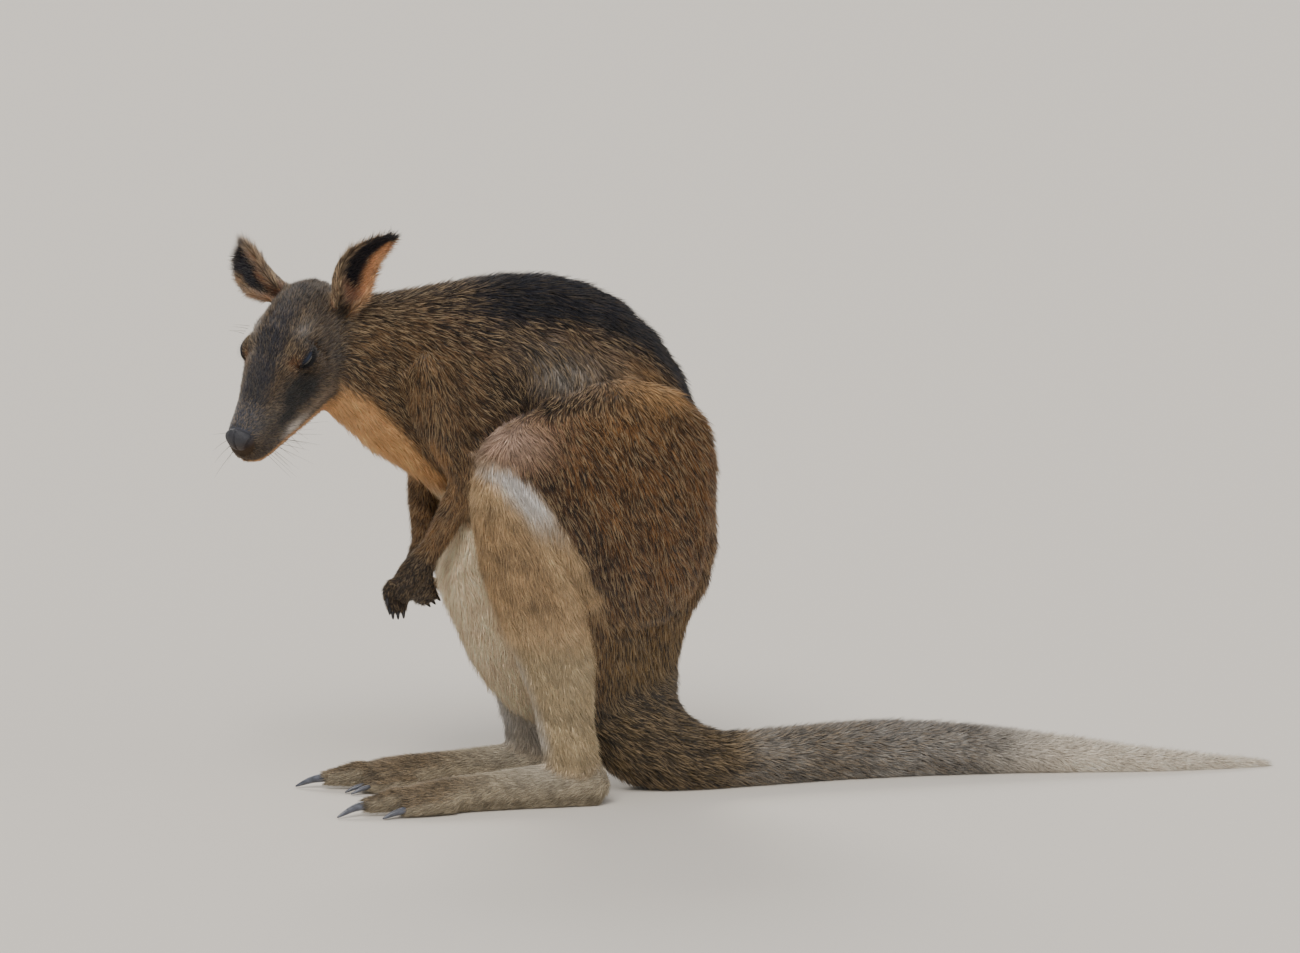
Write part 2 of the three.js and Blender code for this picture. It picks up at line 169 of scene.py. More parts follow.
# Ears, in the head's frame: root, tip, the way the hollow faces, how the middle bends aside, and the width.
EARS = {
    LEFT: {
        "root": (11, -26, 6), "tip": (55, -65.5, 42), "faces": (-0.38, -0.85, 0.2), "bend": (0, 6.5, 4.5),
        "half_width": [11, 16, 17.5, 14.5, 10, 5],
    },
    RIGHT: {
        "root": (9, 23, 8), "tip": (35, 79, 20), "faces": (-0.8, 0.1, 0.55), "bend": (-2.5, 5, 1.5),
        "half_width": [10, 12, 15, 15.5, 13.5, 9],
    },
}
EAR_ROLL = [150, 120, 92, 74, 62, 50]  # half the arc that the shell fills, in degrees
EAR_BOW = 2.5
EAR_FORWARD = 0.55  # how far the middle of the shell's arc stands before its back, in radii
EAR_ROOT_SPREAD = 0.6  # how fast the shell narrows below its root
EAR_WALL = 2.6
EAR_ROWS, EAR_COLUMNS = 34, 20
EAR_ROOT = -0.16  # how far the ear runs on inside the skull, in ear lengths
EAR_ROUND = 0.1  # the last part of the ear, where its outline turns in to the tip


def ear_frame(side):
    root, tip, faces, bend = (np.array(EARS[side][k], float) for k in ("root", "tip", "faces", "bend"))
    axis = tip - root
    along = axis / np.linalg.norm(axis)
    faces -= along * (faces @ along)
    faces /= np.linalg.norm(faces)
    return root, axis, faces, np.cross(along, faces), bend


def ear_section(side, t):
    """The middle, radius and half arc of the ear's rolled shell at t, from root to tip."""
    root, axis, faces, _, bend = ear_frame(side)
    turn = np.radians(through(EAR_ROLL, t))
    outline = np.sqrt(1 - np.clip((t - 1 + EAR_ROUND) / EAR_ROUND, 0, 0.97) ** 2)
    radius = through(EARS[side]["half_width"], t) * outline / np.sin(np.minimum(turn, math.pi / 2))
    radius = radius * (1 + EAR_ROOT_SPREAD * np.minimum(t, 0))
    arch = np.sin(math.pi * np.clip(t, 0, 1))
    middle = root + axis * t[..., None] + faces * (radius * EAR_FORWARD - EAR_BOW * arch)[..., None]
    return middle + bend * arch[..., None], radius, turn


def ear_point(side, t, s):
    """A point on the back of the ear: t from root to tip, s from edge to edge, -1 to 1."""
    _, _, faces, across, _ = ear_frame(side)
    middle, radius, turn = ear_section(side, t)
    angle = turn * s
    return middle - faces * (radius * np.cos(angle))[..., None] + across * (radius * np.sin(angle))[..., None]


def ear_place(side, h):
    """Where on an ear a point lies: how far along, how far across, and how far inside the shell's middle."""
    root, axis, faces, across, _ = ear_frame(side)
    t = (h - root) @ axis / (axis @ axis)
    middle, radius, turn = ear_section(side, t)
    q = h - middle
    s = np.arctan2(q @ across, -(q @ faces)) / turn
    return t, s, radius - EAR_WALL / 2 - np.hypot(q @ across, q @ faces)


def ear(side):
    bpy.ops.mesh.primitive_grid_add(x_subdivisions=EAR_COLUMNS, y_subdivisions=EAR_ROWS, size=2)
    leaf = bpy.context.object
    at = points_of(leaf.data)
    t = EAR_ROOT + (1.0 - EAR_ROOT) * (at[:, 1] + 1) / 2
    put_points(leaf.data, from_head(ear_point(side, t, at[:, 0])) * MM)
    apply(leaf, "SOLIDIFY", thickness=EAR_WALL * MM, offset=1.0, use_even_offset=True)
    all_over(leaf, bpy.ops.mesh.normals_make_consistent, inside=False)
    return leaf


pieces = [cad_copy(n, "flesh_" + n) for n in MOULDED]
for piece in pieces:
    all_over(piece, bpy.ops.transform.shrink_fatten, value=OVERLAP)
pieces += [ear(LEFT), ear(RIGHT)]
bpy.ops.object.select_all(action="DESELECT")
for piece in pieces:
    piece.select_set(True)
bpy.context.view_layer.objects.active = pieces[0]
bpy.ops.object.join()
skin = bpy.context.object
skin.name = skin.data.name = "skin"
apply(skin, "REMESH", mode="VOXEL", voxel_size=VOXEL * MM)

# Which solid each point of the skin lies on, from the nearest triangle of all of them.
flesh_points, flesh_faces, flesh_node = [], [], []
for i, n in enumerate(FLESH):
    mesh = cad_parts[n].data
    start = len(flesh_points)
    flesh_points += [v.co for v in mesh.vertices]
    flesh_faces += [[start + k for k in f.vertices] for f in mesh.polygons]
    flesh_node += [i] * len(mesh.polygons)
flesh_tree = BVHTree.FromPolygons(flesh_points, flesh_faces)
flesh_node = np.array(flesh_node)


def node_under(p):
    return flesh_node[[flesh_tree.find_nearest(Vector(q))[2] for q in p]]


def by_node(table, default=0.0):
    """A table of values by the start of a solid's name, as one value for each solid."""
    return np.array([next((v for k, v in table.items() if n.startswith(k)), default) for n in FLESH])


def weigh(obj, name, values, digits):
    """Gives each point of a piece its weight in a new group."""
    group = obj.vertex_groups.new(name=name)
    levels = np.round(values, digits)
    for level in np.unique(levels):
        group.add(np.where(levels == level)[0].tolist(), float(level), "REPLACE")


# Smooth away the facets, most on the trunk and least on hands and ears, and keep the girth.
SOFTNESS = {"head": 0.3, "ear": 0.12, "hand": 0.12, "foot": 0.3, "forearm": 0.7, "shank": 0.8}
SMOOTH_ROUNDS = 110
p0 = points_of(skin.data)
edges = edges_of(skin.data)
nodes_at = node_under(p0)
weigh(skin, "soft", even_out(by_node(SOFTNESS, 1.0)[nodes_at], edges, 12), 2)
rounds = int(SMOOTH_ROUNDS * (FINE_VOXEL / VOXEL) ** 2)
apply(skin, "SMOOTH", factor=0.5, iterations=rounds, vertex_group="soft")
p1 = points_of(skin.data)
n1 = normals_of(skin.data)
lost = even_out(((p1 - p0) * n1).sum(1), edges, rounds)
p1 = p1 - n1 * lost[:, None]
put_points(skin.data, p1)

# Draw the skin in by the depth of the coat, in millimetres.
COAT_DEPTH = {
    "head": 2.4, "ear": 0.5, "neck": 4.2, "chest": 4.2, "belly": 4.0, "rump": 4.2, "upper_arm": 3.4,
    "forearm": 2.4, "hand": 0.9, "thigh": 4.0, "shank": 3.0, "foot": 1.7, "tail": 4.0,
}
TAIL_DEPTH = {-30: 4.0, 130: 3.3, 290: 2.4, 400: 1.2, 431: 0.4}  # by place along x
MUZZLE_THINNING = 0.6
FINENESS = {"head": 1.0, "ear": 1.0, "hand": 1.0, "foot": 0.7}
n1 = normals_of(skin.data)
depth = by_node(COAT_DEPTH)[nodes_at]
x, z = p1[:, 0] / MM, p1[:, 2] / MM
tail = by_node({"tail": 1.0})[nodes_at] > 0
depth[tail] = np.interp(x[tail], list(TAIL_DEPTH), list(TAIL_DEPTH.values()))
muzzle = (nodes_at == FLESH.index("head")) * step(to_head(p1 / MM)[:, 0], -60, -112)
depth = even_out(depth * (1 - MUZZLE_THINNING * muzzle), edges, 14)
depth *= 1 - step(-n1[:, 2], 0.5, 0.9) * step(z, 12, 3)  # the soles are bare
put_points(skin.data, p1 - n1 * (depth * MM)[:, None])

weigh(skin, "coarse", 1 - even_out(by_node(FINENESS)[nodes_at], edges, 6), 1)
faces = 2 * len(skin.data.polygons)
apply(skin, "DECIMATE", ratio=SKIN_FACES / faces, vertex_group="coarse", vertex_group_factor=1.2)
skin.vertex_groups.clear()


def split_faces(obj, chosen):
    """Halves the edges of the chosen faces."""
    only(obj)
    bpy.ops.object.mode_set(mode="EDIT")
    bpy.ops.mesh.select_mode(type="FACE")
    bpy.ops.mesh.select_all(action="DESELECT")
    bpy.ops.object.mode_set(mode="OBJECT")
    obj.data.polygons.foreach_set("select", chosen)
    bpy.ops.object.mode_set(mode="EDIT")
    bpy.ops.mesh.subdivide(number_cuts=1)
    bpy.ops.mesh.select_mode(type="VERT")
    bpy.ops.object.mode_set(mode="OBJECT")


SPLIT_ROUNDS = 3
for _ in range(SPLIT_ROUNDS):
    areas = np.empty(len(skin.data.polygons), np.float32)
    skin.data.polygons.foreach_get("area", areas)
    split_faces(skin, areas > LARGEST_FACE * MM * MM)

# Eyes, lids, lips and brow, worked into the skin of the head.
EYE_RADIUS = 9.5
LID_RADIUS = 10.7
SLIT_HALF_LENGTH = 8.2
SLIT_HALF_HEIGHT = 1.15
EYE_AT = {side: np.array([-48.0, 23.5 * side, -1.0]) for side in (LEFT, RIGHT)}
EYE_FACES = {side: Vector((-0.45, 0.74 * side, 0.36)).normalized() for side in (LEFT, RIGHT)}
EYE_ALONG = {}
EYE_UP = {}
for side in (LEFT, RIGHT):
    faces = EYE_FACES[side]
    along = Vector((1.32, 0.57 * side, 0.53))
    along = (along - faces * along.dot(faces)).normalized()
    up = faces.cross(along)
    EYE_ALONG[side] = np.array(along)
    EYE_UP[side] = np.array(up if up.z > 0 else -up)
    EYE_FACES[side] = np.array(faces)

# Lines over the coat. The lips are in the head's frame, on the right side. The others are seen from the side,
# as x and z: the flank's fold over the thigh, the edge of the orange throat, and, as z and x, the rear and
# front edges of the pale shank.
MOUTH = [
    (-131, 0, -37), (-127, 8, -43), (-118, 13.5, -48), (-107, 17, -50), (-95, 19.5, -48.5), (-82, 22.5, -44),
]
FOLD = [(-233, 284), (-221, 303), (-204, 319), (-184, 326), (-160, 329), (-120, 332), (-80, 333)]
THROAT_EDGE = [(-345, 352), (-331, 343), (-312, 330), (-288, 305), (-256, 272), (-240, 250)]
SHANK_REAR = [
    (22, -110), (66, -124), (105, -133), (135, -133), (160, -131), (180, -137), (204, -149), (233, -165),
    (274, -194), (290, -214),
]
SHANK_FRONT = [(59, -182), (111, -200), (172, -225), (211, -237), (265, -241), (289, -238)]


def refine(obj, wanted):
    """Splits the faces whose middle, in the head's frame, is wanted."""
    middles = np.empty(len(obj.data.polygons) * 3, np.float32)
    obj.data.polygons.foreach_get("center", middles)
    split_faces(obj, wanted(to_head(middles.reshape(-1, 3).astype(float) / MM)))


def near_eyes(p, reach):
    gaps = [np.linalg.norm(p - EYE_AT[side] - EYE_FACES[side] * 8, axis=1) for side in (LEFT, RIGHT)]
    return np.minimum(*gaps) < reach


def from_line(q, line):
    """How far each point is from a line, and how far along it, 0 to 1."""
    line = np.array(line, float)
    best, place = np.full(len(q), 1e9), np.zeros(len(q))
    for i in range(len(line) - 1):
        a, d = line[i], line[i + 1] - line[i]
        t = np.clip(((q - a) @ d) / (d @ d), 0, 1)
        gap = np.linalg.norm(q - a - t[:, None] * d, axis=1)
        closer = gap < best
        best[closer], place[closer] = gap[closer], ((i + t) / (len(line) - 1))[closer]
    return best, place


def along_mouth(h):
    """How far each point is from the line of the lips, and how far along it."""
    return from_line(np.stack([h[:, 0], np.abs(h[:, 1]), h[:, 2]], 1), MOUTH)


refine(skin, lambda p: near_eyes(p, 17) | (along_mouth(p)[0] < 6))
refine(skin, lambda p: near_eyes(p, 12.5))

# The flank's fold, deepest in front, with the knee standing out below it.
FOLD_DEPTH, FOLD_WIDTH = 4.5, 5.5
KNEE_RISE, KNEE_AT, KNEE_REACH = 2.5, (-205, 296), (26, 15)
p = points_of(skin.data) / MM
n = normals_of(skin.data)
fold_gap, fold_place = from_line(p[:, [0, 2]], FOLD)
aside = step(np.abs(p[:, 1] - 2), 44, 56)
dent = FOLD_DEPTH * np.exp(-((fold_gap / FOLD_WIDTH) ** 2)) * step(fold_place, 0.9, 0.25)
knee_top = KNEE_RISE * mound(p[:, [0, 2]], KNEE_AT, KNEE_REACH)
p = p + n * ((knee_top - dent) * aside)[:, None]

# The forms of the face: how far each stands out, its middle on the right side, and its reach.
FACE_FORMS = {
    "brow": (2.2, (-46, 26, 14), (14, 10, 6.5)),
    "cheekbone": (1.6, (-40, 33, -17), (16, 10, 9)),
    "hollow before the eye": (-1.3, (-68, 22, -7), (8, 8, 7)),
    "jaw muscle": (1.2, (-34, 35, -34), (18, 12, 20)),
    "side of the muzzle": (-1.0, (-92, 19, -24), (14, 8, 10)),
    "whisker pad": (1.3, (-115, 15, -33), (10, 7, 9)),
    "temple": (-1.2, (-20, 30, 10), (10, 9, 8)),
}
h = to_head(p)
hn = n @ TURN
on_head = (np.abs(h - (-60, 0, -20)) < (80, 45, 60)).all(1)
push = np.zeros(len(h))
for side in (LEFT, RIGHT):
    for rise, (x, y, z), reach in FACE_FORMS.values():
        push += rise * mound(h, (x, y * side, z), reach)
gap, place = along_mouth(h)
push -= 1.7 * np.exp(-((gap / 1.3) ** 2)) * step(place, 1.02, 0.9)
push += 0.5 * np.exp(-(((gap - 3) / 1.8) ** 2)) * step(place, 1.0, 0.8)
h = h + hn * (push * on_head)[:, None]


def above_slit(u, v):
    """How far a point of the lids, at u along the eye and v up it, is above the line where they meet."""
    return v + 1.6 - 1.3 * (u / SLIT_HALF_LENGTH) ** 2


for side in (LEFT, RIGHT):
    out = h - EYE_AT[side]
    radius = np.linalg.norm(out, axis=1)
    way = out / np.maximum(radius, 1e-6)[:, None]
    facing = way @ EYE_FACES[side]
    u = way @ EYE_ALONG[side] * LID_RADIUS
    v = way @ EYE_UP[side] * LID_RADIUS
    spread = np.where(facing > 0, np.hypot(u / 1.25, v), np.inf)
    above = above_slit(u, v)
    off = np.abs(above) - SLIT_HALF_HEIGHT * np.clip(1 - (u / SLIT_HALF_LENGTH) ** 2, 0, 1)
    lid = LID_RADIUS + 0.45 * np.exp(-(((off - 0.9) / 0.7) ** 2))  # a thick rim
    lid -= 0.3 * np.exp(-(((above - 6.8) / 1.2) ** 2))  # a crease in the upper lid
    lid -= 0.35 * np.exp(-((above + 4.2) ** 2))  # and one in the lower
    open_part = step(off, 0.35, -0.35) * (np.abs(u) < SLIT_HALF_LENGTH)
    target = lid * (1 - open_part) + (EYE_RADIUS - 0.9) * open_part
    weight = step(spread, 12.5, 7.8) * (radius < 22)
    new_radius = radius + (target - radius) * weight
    # Nowhere but in the slit does the eye come through the skin.
    covers = (radius < 20) & (facing > -0.2)
    least = np.where(covers & (open_part <= 0.05), EYE_RADIUS + 0.35, 0)
    new_radius = np.maximum(new_radius, least)
    h = np.where(((weight > 0) | covers)[:, None], EYE_AT[side] + way * new_radius[:, None], h)
p = from_head(h)
p[:, 2] = np.maximum(p[:, 2], 0.15)
put_points(skin.data, p * MM)

# Markings: the colour of each part first, then what is painted over it.
NODE_COLOUR = {
    "head": "463422", "ear": "74583f", "neck": "7d6040", "chest": "7a5c3e", "belly": "7f6144",
    "rump": "8a6742", "upper_arm": "8a6a49", "forearm": "9a7752", "hand": "463a31", "thigh": "8a6139",
    "shank": "8a6139", "foot": "b3a68e", "tail": "9f9a93",
}


def rgb(text):
    """A colour written as red, green and blue on a screen, as light."""
    c = np.array([int(text[i:i + 2], 16) / 255 for i in (0, 2, 4)])
    return np.where(c <= 0.04045, c / 12.92, ((c + 0.055) / 1.055) ** 2.4)


p = points_of(skin.data) / MM
n = normals_of(skin.data)
edges = edges_of(skin.data)
nodes_at = node_under(p * MM)
member = np.zeros((len(p), len(FLESH)))
member[np.arange(len(p)), nodes_at] = 1
member = even_out(member, edges, 8)
colour = member @ by_node({part: rgb(text) for part, text in NODE_COLOUR.items()})


def part_of(*names):
    """How far each point belongs to the solids whose names start so, 0 to 1."""
    return member[:, [any(f.startswith(k) for k in names) for f in FLESH]].sum(1)


def paint(hex_colour, amount):
    """Lays a colour over the skin, 0 for none of it and 1 for nothing else."""
    global colour
    amount = np.clip(amount, 0, 1)[:, None]
    colour = colour * (1 - amount) + rgb(hex_colour) * amount


h = to_head(p)
X, Y, Z = p[:, 0], p[:, 1], p[:, 2]
trunk = part_of("neck", "chest", "belly", "rump")
hind_leg = part_of("thigh", "shank")
upward = n[:, 0] * 0.55 + n[:, 2] * 0.83  # square to the line of the back
downward = -(n[:, 0] * 0.9 + n[:, 2] * 0.45)  # square to the line of the belly

# Trunk: olive lower rump, tawny hip brightened with painted sunlight, grey whorl on the flank, painted shadow
# behind the shoulder and along the fold, dark saddle with a painted blue cast of shade, orange throat partly
# painted warm light, and cream belly.
paint("94794c", part_of("rump", "tail_root", "thigh") * step(Z, 210, 110) * step(X, -150, -105) * 0.8)
paint("8c7458", part_of("neck") * step(upward, 0.2, 0.8) * 0.5)
body = trunk + hind_leg
for side in (LEFT, RIGHT):
    # Painted sunlight: the tawny hip is laid on brighter than the fur alone.
    paint("c9a06f", body * 0.9 * mound(p, (-80, 66 * side, 342), (48, 60, 21)))
    paint("a3a09a", body * 0.9 * mound(p, (-158, 70 * side, 352), (34, 45, 19)))
    paint("8f8c86", trunk * 0.5 * mound(p, (-185, 66 * side, 372), (26, 45, 12)))
    # Painted shadow behind the shoulder.
    paint("2f2419", trunk * 0.85 * mound(p, (-207, 60 * side, 338), (22, 40, 22)))
fold_gap, fold_place = from_line(p[:, [0, 2]], FOLD)
# Painted shade along the flank's fold, darkest in front and fading toward the hip.
fold_shade = np.exp(-((fold_gap / FOLD_WIDTH) ** 2)) * step(fold_place, 1.0, 0.35) * step(np.abs(Y), 40, 55)
paint("2a2018", body * fold_shade)
saddle_half = np.interp(X, [-210, -130, -60], [44, 37, 24])
saddle_and_shade = step(np.abs(Y - 1) - saddle_half, 7, -7) * step(upward, 0.05, 0.45)
saddle_and_shade *= step(X, -292, -212) * step(Z, 250, 330)
# The dark saddle, its blue-black partly a painted cast of shade lit by the sky.
paint("191b28", body * saddle_and_shade)
nape = step(np.abs(Y - 1), 50, 30) * step(upward, 0.3, 0.8) * step(X, -345, -300) * step(X, -205, -250)
paint("4a4038", trunk * nape * 0.6)
# The orange throat and the orange front of the upper arms are partly painted warm light from below.
below_edge = step(Z - np.interp(X, *zip(*THROAT_EDGE)), 7, -7) * step(X, -228, -244)
paint("f2bd84", part_of("neck", "chest", "belly") * below_edge)
paint("e0a76c", part_of("upper_arm") * step(-n[:, 0], 0.6, 0.9) * step(Z, 312, 285) * 0.7)
under = step(Z, 268, 246)
paint("ffe8c8", part_of("chest", "belly", "rump") * step(downward, 0.1, 0.45) * under * step(X, -150, -190))
paint("ffe8c8", part_of("rump", "belly") * step(downward, 0.35, 0.7) * under)

# Hind legs: a pale shank with a sharp rear edge and painted shadow behind it, the far shank paler and bluer
# with painted skylight, a greyish knee with a white patch, browner toes.
leg_x = X + np.where(Y > 0, 17, 0)  # the right leg stands 17 forward of the left
behind = leg_x - np.interp(Z, *zip(*SHANK_REAR))
pale_leg = step(behind, 3.5, -3.5) * step(Z, 300, 284)
inner = step(np.abs(Y) - 50, 4, -8)
# Painted shadow on the thigh just behind the shank's rear edge.
shade_behind_shank = step(behind, -4, 2) * step(behind, 46, 8) * step(Z, 150, 200)
paint("4f3520", hind_leg * shade_behind_shank * step(Z, 300, 270) * 0.75)
paint("d6b88f", hind_leg * np.maximum(pale_leg, inner * step(X, -120, -150)))
paint("d2bd98", part_of("shank") * step(Z, 150, 120))
before = leg_x - np.interp(Z, *zip(*SHANK_FRONT))
paint("e9e6e2", part_of("shank") * step(before, 13, 3) * step(Z, 150, 110) * 0.9)
# Painted skylight: the far shank is made paler and bluer than the near one.
paint("dfe0e2", part_of("shank") * (Y > 0) * step(Z, 165, 105) * 0.6)
paint("d3b4a0", hind_leg * mound(np.stack([leg_x, Z], 1), (-207, 304), (34, 19)) * 0.9)
band = step(behind, 2, -4) * step(behind, -34, -14)
paint("f6f1ee", hind_leg * band * step(Z, 218, 262) * step(Z, 292, 278))
tawny = step(behind, -22, -40) * step(Z, 150, 180) * step(Z, 262, 235)
paint("b48f63", hind_leg * pale_leg * tawny * 0.45)
paint("e4dccd", part_of("foot") * 0.7 * mound(p, (-170, 0, 45), (44, 200, 24)))
paint("8a7860", part_of("foot") * step(X, -215, -262) * step(n[:, 2], 0.2, 0.8) * 0.8)
paint("665537", part_of("tail_root") * step(X, 60, -10))
paint("8b8172", part_of("tail") * step(X, -20, 60) * step(X, 120, 60) * 0.6)
paint("f4e8d6", part_of("tail") * step(X, 170, 290))
paint("5d4a38", part_of("forearm") * step(Z, 215, 190) * 0.7)

# The face: a dark bridge, a dark streak from eye to lip, a pale lip, a jaw painted orange partly as warm
# light from below, a pale grey brow partly a painted highlight, and a painted blue sky reflection on the
# upper lids.
FACE_PATCHES = [
    # Colour, strength, middle on the right side and reach, in the order they are laid.
    ("6f655b", 0.7, (-98, 17, -18), (24, 6, 7)),  # side of the muzzle
    ("b79c80", 0.75, (-58, 27, -36), (34, 12, 9)),  # cheek stripe
    # The brow patch is pale hair with a painted highlight on it.
    ("c9c6c4", 0.95, (-42, 28, 17), (14, 9, 4.5)),  # brow
    ("7d7468", 0.6, (-66, 18, 8), (12, 6, 4)),
    ("93623c", 0.8, (-60, 23, 1), (7, 8, 4)),  # rusty corner of the eye
    ("0f0c0c", 1.7, (-72, 25, -17), (19, 14, 9.5)),  # streak
    ("151111", 1.3, (-90, 20, -27), (14, 9, 6)),
    ("3a322c", 0.7, (-110, 15, -30), (12, 9, 8)),  # whisker pad
    ("e9e0d6", 1.0, (-86, 21, -41), (14, 12, 5.5)),  # lip
]
face = part_of("head")
side_y = np.abs(h[:, 1])
paint("7a6447", face * 0.5 * step(h[:, 0], -35, 0) * step(h[:, 2], 5, -35))
paint("25242e", face * step(side_y, 15, 8) * step(h[:, 0], 0, -50) * step(h[:, 2], -30, -14))
paint("2f2e38", face * step(side_y, 13, 6) * step(h[:, 0], 14, 0) * step(h[:, 2], 5, 15) * 0.6)
paint("55565f", face * step(h[:, 0], -96, -114) * step(h[:, 2], -26, -14) * 0.9)
for side in (LEFT, RIGHT):
    for text, strength, (x, y, z), reach in FACE_PATCHES:
        paint(text, face * np.minimum(strength * mound(h, (x, y * side, z), reach), 1))
# The jaw's underside is painted orange, partly as warm light thrown up from below.
paint("f0b87c", face * step(h[:, 2] + 0.12 * h[:, 0], -54, -58.5))
paint("f0b87c", face * step(h[:, 0], -60, -20) * step(h[:, 2] + 0.10 * h[:, 0], -50, -60))
for side in (LEFT, RIGHT):
    out = h - EYE_AT[side]
    near = (np.linalg.norm(out, axis=1) < 20) & (out @ EYE_FACES[side] > 0)
    u, v = out @ EYE_ALONG[side], out @ EYE_UP[side]
    above = above_slit(u, v)
    paint("17161c", near * step(np.hypot(u / 1.9, v + 0.8), 7.5, 3.0))
    # Painted reflection: a slate-blue sheen of sky on the lid above the slit.
    paint("39445c", near * mound(np.stack([above, u], 1), (2.6, 1.5), (1.4, 6.0)) * 0.6)
    paint("08070a", near * step(np.abs(above), 1.9, 1.3) * step(np.abs(u), 9.5, 8.5))

# Ears: grizzled backs, dark tips, painted shade as a dark band deep in the hollows, pinkish hollows painted
# orange partly as sunlight shining through, and pale rims.
EAR_HOLLOW_SHADE_AND_TIP = "17131f"
ear_rim, ear_hollow, ear_front = np.zeros((3, len(p)))
for side, name in SIDES:
    here = part_of(f"ear_{name}")
    t, s, inward = ear_place(side, h)
    hollow = step(inward, -0.5, 0.5) * step(np.abs(s), 1.15, 1.0)
    rim = step(np.abs(s), 0.72, 0.95)
    ear_rim += here * np.maximum(rim, step(t, 0.86, 0.97))
    ear_hollow += here * hollow
    paint("6a533e", here * (1 - hollow))
    paint("2f2a30", here * (1 - hollow) * step(t, 0.55, 0.95) * 0.8)
    # The hollow is painted orange, partly as sunlight shining through the ear.
    paint("d89a6c", here * hollow)
    paint("8d6a66", here * hollow * step(t, 0.35, 0.05) * 0.6)
    if side == LEFT:
        # Painted shade as a dark band deep in the hollow, then the dark tip.
        paint(EAR_HOLLOW_SHADE_AND_TIP, here * hollow * step(s, 0.62, 0.32) * step(t, 0.1, 0.25))
        paint(EAR_HOLLOW_SHADE_AND_TIP, here * step(t, 0.9, 0.97))
        front = step(s, -0.4, -0.8)
    else:
        # Painted shade deep in the hollow, toward the tip and along its edge.
        paint(EAR_HOLLOW_SHADE_AND_TIP, here * hollow * step(t, 0.48, 0.7))
        paint(EAR_HOLLOW_SHADE_AND_TIP, here * hollow * step(s, -0.1, -0.4) * step(t, 0.1, 0.3))
        front = step(s, 0.3, 0.8)
    ear_front += here * front
    paint("6d543c", here * front * (1 - hollow) * step(t, 0.9, 0.7))
    paint("c49566", here * rim * (1 - front) * step(t, 0.85, 0.7) * 0.6)
    paint("745a42", here * rim * front * step(t, 0.85, 0.7) * 0.7)
for side in (LEFT, RIGHT):
    paint("8a744c", (face + part_of("ear")) * mound(h, (12, 38 * side, -10), (12, 12, 13)) * 0.8)


def keep_markings(mesh, colour):
    """Writes a colour for each point into the attribute that the materials read."""
    layer = mesh.color_attributes.new("markings", "FLOAT_COLOR", "POINT")
    rgba = np.c_[np.clip(colour, 0, 1), np.ones(len(colour))]
    layer.data.foreach_set("color", rgba.astype(np.float32).ravel())


keep_markings(skin.data, colour)


def hide(title, rough, grain, bump, tint_low, tint_high, shine=0.25, sheen=0.0):
    """A dull surface that takes its colour from the markings, broken up by noise at the scale of hairs."""
    m = bpy.data.materials.new(title)
    m.use_nodes = True
    tree = m.node_tree
    shader = tree.nodes["Principled BSDF"]
    shader.inputs["Roughness"].default_value = rough
    shader.inputs["Specular IOR Level"].default_value = shine
    shader.inputs["Sheen Weight"].default_value = sheen
    marks = tree.nodes.new("ShaderNodeAttribute")
    marks.attribute_name = "markings"
    place = tree.nodes.new("ShaderNodeTexCoord")
    noise = tree.nodes.new("ShaderNodeTexNoise")
    noise.inputs["Scale"].default_value = grain
    noise.inputs["Detail"].default_value = 4
    ramp = tree.nodes.new("ShaderNodeMapRange")
    limits = {"From Min": 0.3, "From Max": 0.7, "To Min": tint_low, "To Max": tint_high}
    for name, value in limits.items():
        ramp.inputs[name].default_value = value
    shade = tree.nodes.new("ShaderNodeVectorMath")
    shade.operation = "SCALE"
    dent = tree.nodes.new("ShaderNodeBump")
    dent.inputs["Strength"].default_value = bump
    dent.inputs["Distance"].default_value = 0.0008
    link = tree.links.new
    link(place.outputs["Object"], noise.inputs["Vector"])
    link(noise.outputs["Fac"], ramp.inputs["Value"])
    link(marks.outputs["Color"], shade.inputs[0])
    link(ramp.outputs["Result"], shade.inputs["Scale"])
    link(shade.outputs["Vector"], shader.inputs["Base Color"])
    link(noise.outputs["Fac"], dent.inputs["Height"])
    link(dent.outputs["Normal"], shader.inputs["Normal"])
    return m


skin.data.materials.clear()
skin.data.materials.append(hide("hide", 0.8, 900, 0.6, 0.35, 0.8))
only(skin)
bpy.ops.object.shade_smooth()
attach(skin, "root")
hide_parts(*FLESH)


# ---- Eyes ----
# Glass eyes, dark brown and wet, set in the sockets so that only a sliver shows between the lids.

